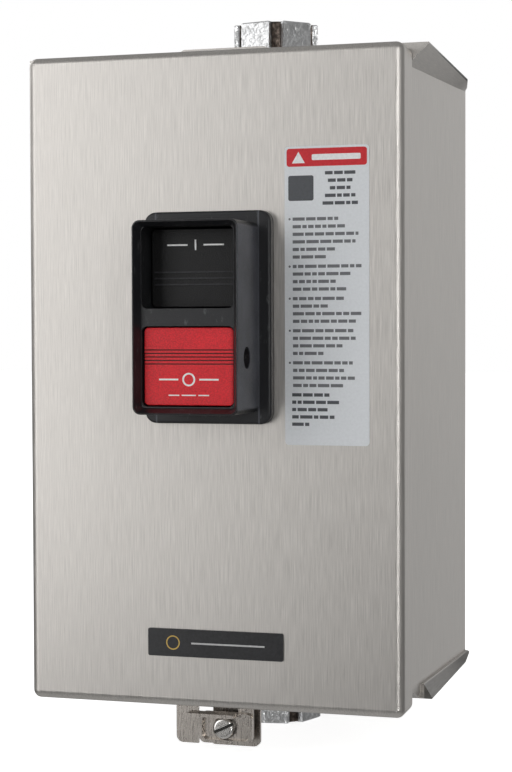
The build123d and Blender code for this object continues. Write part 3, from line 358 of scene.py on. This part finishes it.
FINISHES = {
    sheet_metal: ["cover_pan", "body_wrap"],
    top_metal: ["top_end_plate"],
    bottom_metal: ["bottom_end_plate"],
    latch_metal: ["latch_plate", "latch_bracket"],
    zinc: ["hub_top", "hub_bottom"],
    latch_screw: ["cover_screw"],
    screw_metal: ["screw_clip", "hub_locknuts", "ground_screw", "operator_screws",
                  "device_screws", "terminal_screws", "motor_screws", "plate_nuts", "standoffs"],
    yellow_plate: ["mounting_plate"],
    black: ["operator_housing", "operator_back_plate"],
    black_button: ["start_button"],
    red: ["stop_button"],
    rubber: ["cover_gasket", "operator_seal", "hub_seals"],
    label_film: ["caution_label"],
    charcoal: ["nameplate"],
    case: ["contactor_base", "arc_chamber", "start_block", "relay_case", "contact_carrier"],
    light_case: ["contactor_front", "coil_bobbin", "relay_cover", "trip_bar", "start_plunger"],
    blue: ["current_dial", "reset_plunger"],
    iron: ["magnet_core", "armature"],
    winding: ["coil_winding"],
    copper: ["line_terminals", "load_terminals", "moving_contacts", "ground_lug"],
    brass: ["start_contacts", "stab_strips", "motor_terminals", "coil_terminals"],
    heater: ["heater_coils", "bimetal_strips"],
    spring_wire: ["start_button_spring", "stop_button_spring", "start_contact_spring", "reset_spring",
                  "return_springs", "contact_springs"],
}
for finish, names in FINISHES.items():
    for name in names:
        mesh = frame["nodes"][name].data
        mesh.materials.clear()
        mesh.materials.append(finish)


# ---------------------------------------------------------------- mesh helpers
def new_piece(name, bm, body, material):
    """A mesh piece from bmesh geometry in the CAD's frame, riding on a body."""
    bmesh.ops.recalc_face_normals(bm, faces=bm.faces)
    mesh = bpy.data.meshes.new(name)
    bm.to_mesh(mesh)
    bm.free()
    mesh.materials.append(material)
    piece = bpy.data.objects.new(name, mesh)
    bpy.context.scene.collection.objects.link(piece)
    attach(piece, body)


def prism(bm, outline, back, front):
    """Closed prism from an outline of (x, z) points between two y values."""
    rear = [bm.verts.new((x, back, z)) for x, z in outline]
    face = [bm.verts.new((x, front, z)) for x, z in outline]
    bm.faces.new(rear)
    bm.faces.new(face)
    count = len(outline)
    for i in range(count):
        j = (i + 1) % count
        bm.faces.new((rear[i], rear[j], face[j], face[i]))


def ring(bm, centre, outer, inner, back, front, steps=40):
    """Closed flat ring round (x, z)."""
    loops = []
    x, z = centre
    turn = [math.tau * i / steps for i in range(steps)]
    for radius, y in ((outer, back), (outer, front), (inner, front), (inner, back)):
        loops.append([bm.verts.new((x + radius * math.cos(a), y, z + radius * math.sin(a))) for a in turn])
    for k in range(4):
        here, there = loops[k], loops[(k + 1) % 4]
        for i in range(steps):
            j = (i + 1) % steps
            bm.faces.new((here[i], here[j], there[j], there[i]))


def corners(xs, zs, radius=0.0, steps=5):
    """Rectangle outline, with round corners if a radius is given."""
    if not radius:
        return [(xs[0], zs[0]), (xs[1], zs[0]), (xs[1], zs[1]), (xs[0], zs[1])]
    points = []
    places = (
        # corner, which way it faces, and where its arc starts in degrees
        (xs[1], zs[0], 1, 1, -90),
        (xs[1], zs[1], 1, -1, 0),
        (xs[0], zs[1], -1, -1, 90),
        (xs[0], zs[0], -1, 1, 180),
    )
    for x, z, side, up, start in places:
        cx, cz = x - side * radius, z + up * radius
        for i in range(steps + 1):
            a = math.radians(start + 90 * i / steps)
            points.append((cx + radius * math.cos(a), cz + radius * math.sin(a)))
    return points


def bar(bm, xs, zs, face, thick, radius=0.0):
    """Thin raised rectangle on a face at a y value."""
    prism(bm, corners(xs, zs, radius), face, face - thick)


# ---------------------------------------------------------------- springs of the joints, copied to ride on their bodies
bodies = frame["record"]["behaviour"]["bodies"]
for joint in frame["joints"]:
    for deforming in joint.get("deforming_nodes", ()):
        node = deforming["node"]
        body = next(name for name, members in bodies.items() if node in members)
        coil = bpy.data.objects.new(node + "_coil", frame["nodes"][node].data.copy())
        bpy.context.scene.collection.objects.link(coil)
        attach(coil, body)
        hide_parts(node)
        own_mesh(coil)


# ---------------------------------------------------------------- button marks
PAINT = 0.12 * MM            # thickness of the marks' paint
RIB = 0.5 * MM               # how far the start button's ribs stand out of its face
white_paint = printed("white_paint", (0.92, 0.92, 0.91), 0.45)

start_low, start_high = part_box("start_button")
stop_low, stop_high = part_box("stop_button")
start_face = start_low.y + RIB
stop_face = stop_low.y
start_mid = (start_low.z + start_high.z) / 2
stop_mid = (stop_low.z + stop_high.z) / 2


def start_mark():
    """The I symbol between two plain bars."""
    bm = bmesh.new()
    z = start_mid + 9.3 * MM
    half, line = 2.1 * MM, 0.32 * MM
    bar(bm, (-line, line), (z - half, z + half), start_face, PAINT)
    for xs in ((-12 * MM, -3.4 * MM), (3.4 * MM, 12 * MM)):
        bar(bm, xs, (z - line, z + line), start_face, PAINT)
    new_piece("start_symbol", bm, "start_push", white_paint)


def stop_mark():
    """The O symbol between two plain bars, with a thinner line below."""
    bm = bmesh.new()
    z = stop_mid - 5.2 * MM
    line = 0.34 * MM
    ring(bm, (0, z), 2.7 * MM, 2.0 * MM, stop_face, stop_face - PAINT)
    for xs in ((-12.5 * MM, -4.4 * MM), (4.4 * MM, 12.5 * MM)):
        bar(bm, xs, (z - line, z + line), stop_face, PAINT)
    low, thin = z - 6.3 * MM, 0.25 * MM
    for xs in ((-8.5 * MM, -4 * MM), (-3 * MM, 3 * MM), (4 * MM, 8.5 * MM)):
        bar(bm, xs, (low - thin, low + thin), stop_face, PAINT)
    new_piece("stop_symbol", bm, "stop_push", white_paint)


start_mark()
stop_mark()

# ---------------------------------------------------------------- label print
INK = 0.03 * MM              # thickness of one layer of print
HEADER = 7.6 * MM            # height of the red band
BOLD_HEIGHT = 1.35 * MM
BOLD_PITCH = 3.05 * MM       # from line to line, beside the plain square
PLAIN_HEIGHT = 1.3 * MM
PLAIN_PITCH = 3.08 * MM
CLOSING_PITCH = 3.0 * MM     # in the bold lines at the bottom
WORD = (1.6, 5.2)            # shortest and longest bar in a line, in millimetres
WORD_GAP = 0.6 * MM
label_low, label_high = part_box("caution_label")
label_face = label_low.y
left, right = label_low.x, label_high.x
top = label_high.z
red_ink = printed("red_ink", (0.66, 0.02, 0.03), 0.35)
dark_ink = printed("dark_ink", (0.085, 0.09, 0.10), 0.4)
grey_ink = printed("grey_ink", (0.17, 0.175, 0.185), 0.4)
white_ink = printed("white_ink", (0.92, 0.92, 0.92), 0.35)

bm = bmesh.new()
bar(bm, (left + 0.9 * MM, right - 0.9 * MM), (top - HEADER - 0.6 * MM, top - 0.9 * MM),
    label_face, INK, 1.2 * MM)
new_piece("label_header", bm, "cover", red_ink)

bm = bmesh.new()
header_mid = top - 0.75 * MM - HEADER / 2
prism(bm, [(left + 3.2 * MM, header_mid - 2.3 * MM), (left + 8.6 * MM, header_mid - 2.3 * MM),
           (left + 5.9 * MM, header_mid + 2.4 * MM)], label_face - INK, label_face - 2 * INK)
bar(bm, (left + 11.5 * MM, right - 3.5 * MM), (header_mid - 1.2 * MM, header_mid + 1.2 * MM),
    label_face - INK, INK, 0.5 * MM)
new_piece("label_header_marks", bm, "cover", white_ink)


def word_line(bm, draw, x0, x1, z, height):
    """One line of plain bars with gaps between them."""
    x = x0
    while x < x1 - 1.2 * MM:
        end = min(x + draw.uniform(*WORD) * MM, x1)
        bar(bm, (x, end), (z - height / 2, z + height / 2), label_face, INK)
        x = end + WORD_GAP


draw = random.Random(11)
bold = bmesh.new()
plain = bmesh.new()
z = top - HEADER - 3.4 * MM
middle = right - 12 * MM
for share in (0.62, 0.5, 0.42, 0.62, 0.72):
    half = share * 10.2 * MM
    word_line(bold, draw, middle - half, middle + half, z, BOLD_HEIGHT)
    z -= BOLD_PITCH
bar(bold, (left + 1.6 * MM, left + 12.2 * MM), (z + 4.2 * MM, z + 14.4 * MM), label_face, INK, 0.8 * MM)
z -= 3.2 * MM
start = left + 3.4 * MM
for lines in ((0.66, 0.74, 0.9, 0.86, 0.58, 0.5), (0.94, 0.8, 0.64, 0.74), (0.7, 0.5, 0.96, 0.92),
              (0.88, 0.86, 0.68, 0.42), (0.82, 0.7, 0.9, 0.72)):
    ring(bold, (left + 2.1 * MM, z), 0.45 * MM, 0.1 * MM, label_face, label_face - INK, 10)
    for share in lines:
        word_line(plain, draw, start, start + share * 30.5 * MM, z, PLAIN_HEIGHT)
        z -= PLAIN_PITCH
    z -= 0.75 * MM
start = left + 3.0 * MM
for share in (0.72, 0.82, 0.62, 0.74, 0.3):
    word_line(bold, draw, start, start + share * 24 * MM, z, BOLD_HEIGHT)
    z -= CLOSING_PITCH
new_piece("label_bold_lines", bold, "cover", dark_ink)
new_piece("label_lines", plain, "cover", grey_ink)

# ---------------------------------------------------------------- nameplate print
plate_low, plate_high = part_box("nameplate")
plate_mid = (plate_low.z + plate_high.z) / 2
gold_ink = printed("gold_ink", (0.62, 0.42, 0.10), 0.35)
silver_ink = printed("silver_ink", (0.55, 0.55, 0.55), 0.35)
bm = bmesh.new()
ring(bm, (plate_low.x + 11 * MM, plate_mid), 3.0 * MM, 2.5 * MM, plate_low.y, plate_low.y - INK)
new_piece("nameplate_ring", bm, "cover", gold_ink)
bm = bmesh.new()
bar(bm, (plate_low.x + 19 * MM, plate_high.x - 8 * MM), (plate_mid - 0.35 * MM, plate_mid + 0.35 * MM),
    plate_low.y, INK)
new_piece("nameplate_line", bm, "cover", silver_ink)


# ---------------------------------------------------------------- studio
def area_light(name, place, target, size, energy):
    """Rectangular softbox that points at a target."""
    data = bpy.data.lights.new(name, "AREA")
    data.shape = "RECTANGLE"
    data.size, data.size_y = size
    data.energy = energy
    light = bpy.data.objects.new(name, data)
    light.location = place
    light.rotation_euler = (Vector(target) - Vector(place)).to_track_quat("-Z", "Y").to_euler()
    light.visible_camera = False
    bpy.context.scene.collection.objects.link(light)


area_light("key_softbox", (-0.95, -1.45, 0.26), (0, -0.1, 0.02), (0.8, 1.7), 9.6)
area_light("front_strip", (0.95, -1.60, 0.15), (0, -0.1, 0), (0.14, 1.8), 11)
area_light("back_fill", (0.75, 1.5, 0.05), (0, -0.1, 0), (0.9, 2.2), 3.5)
area_light("left_fill", (-1.6, 0.6, 0.9), (0, -0.1, 0), (1.2, 1.4), 9)

world = bpy.data.worlds.new("studio")
bpy.context.scene.world = world
world.use_nodes = True
tree = world.node_tree
sky = tree.nodes.new("ShaderNodeTexCoord")
sky_parts = tree.nodes.new("ShaderNodeSeparateXYZ")
sky_level = tree.nodes.new("ShaderNodeMapRange")
sky_level.inputs["From Min"].default_value = -1.0
sky_ramp = tree.nodes.new("ShaderNodeValToRGB")
# soft grey room: place from nadir to zenith, and brightness there
ROOM = ((0.0, 0.46), (0.20, 0.36), (0.33, 0.09), (0.44, 0.20), (0.58, 0.30), (0.75, 0.22), (1.0, 0.36))
stops = sky_ramp.color_ramp.elements
for i, (place, level) in enumerate(ROOM):
    stop = stops[i] if i < 2 else stops.new(place)
    stop.position = place
    stop.color = (level, level, level, 1)
tree.links.new(sky.outputs["Generated"], sky_parts.inputs["Vector"])
tree.links.new(sky_parts.outputs["Z"], sky_level.inputs["Value"])
tree.links.new(sky_level.outputs["Result"], sky_ramp.inputs["Fac"])
tree.links.new(sky_ramp.outputs["Color"], tree.nodes["Background"].inputs["Color"])
# the camera sees plain white behind the object
white = tree.nodes.new("ShaderNodeBackground")
white.inputs["Color"].default_value = (1, 1, 1, 1)
path = tree.nodes.new("ShaderNodeLightPath")
mix = tree.nodes.new("ShaderNodeMixShader")
tree.links.new(path.outputs["Is Camera Ray"], mix.inputs[0])
tree.links.new(tree.nodes["Background"].outputs[0], mix.inputs[1])
tree.links.new(white.outputs[0], mix.inputs[2])
tree.links.new(mix.outputs[0], tree.nodes["World Output"].inputs["Surface"])

FLOOR_HALF = 6.0
FLOOR_GAP = 0.2 * MM
bm = bmesh.new()
bmesh.ops.create_grid(bm, x_segments=2, y_segments=2, size=FLOOR_HALF)
mesh = bpy.data.meshes.new("floor")
bm.to_mesh(mesh)
bm.free()
floor = bpy.data.objects.new("floor", mesh)
floor.location.z = cad_low.z - FLOOR_GAP
bpy.context.scene.collection.objects.link(floor)
# the metal isn't lit from below, so the floor shows only to the camera
floor.visible_diffuse = False
floor.visible_glossy = False
paper = Shader("floor_paper", (0.86, 0.86, 0.86), 0.8, Emission_Color=(1, 1, 1, 1), Emission_Strength=0.85)
paper.colour(paper.blend(paper.noise(3), (0.85, 0.85, 0.85), (0.87, 0.87, 0.87)))
mesh.materials.append(paper.mat)

# ---------------------------------------------------------------- camera
CAMERA_PLACE = (0.22574, -0.86563, 0.02223)
LENS = 83.28                 # focal length and sensor width in millimetres
SENSOR = 36
AZIMUTH = math.radians(16.33)
PITCH = math.radians(1.89)
ROLL = math.radians(-0.196)
right_level = Vector((math.cos(AZIMUTH), math.sin(AZIMUTH), 0))
level = math.cos(PITCH)
forward = Vector((-math.sin(AZIMUTH) * level, math.cos(AZIMUTH) * level, -math.sin(PITCH)))
up_level = right_level.cross(forward)
screen_right = math.cos(ROLL) * right_level + math.sin(ROLL) * up_level
screen_up = -math.sin(ROLL) * right_level + math.cos(ROLL) * up_level
camera_data = bpy.data.cameras.new("camera")
camera_data.lens = LENS
camera_data.sensor_width = SENSOR
camera_data.clip_start = 0.05
camera_data.clip_end = 50
camera = bpy.data.objects.new("camera", camera_data)
camera.matrix_world = Matrix.Translation(CAMERA_PLACE) @ Matrix((
    (screen_right.x, screen_up.x, -forward.x),
    (screen_right.y, screen_up.y, -forward.y),
    (screen_right.z, screen_up.z, -forward.z),
)).to_4x4()
bpy.context.scene.collection.objects.link(camera)
bpy.context.scene.camera = camera
bpy.context.scene.view_settings.view_transform = "Standard"
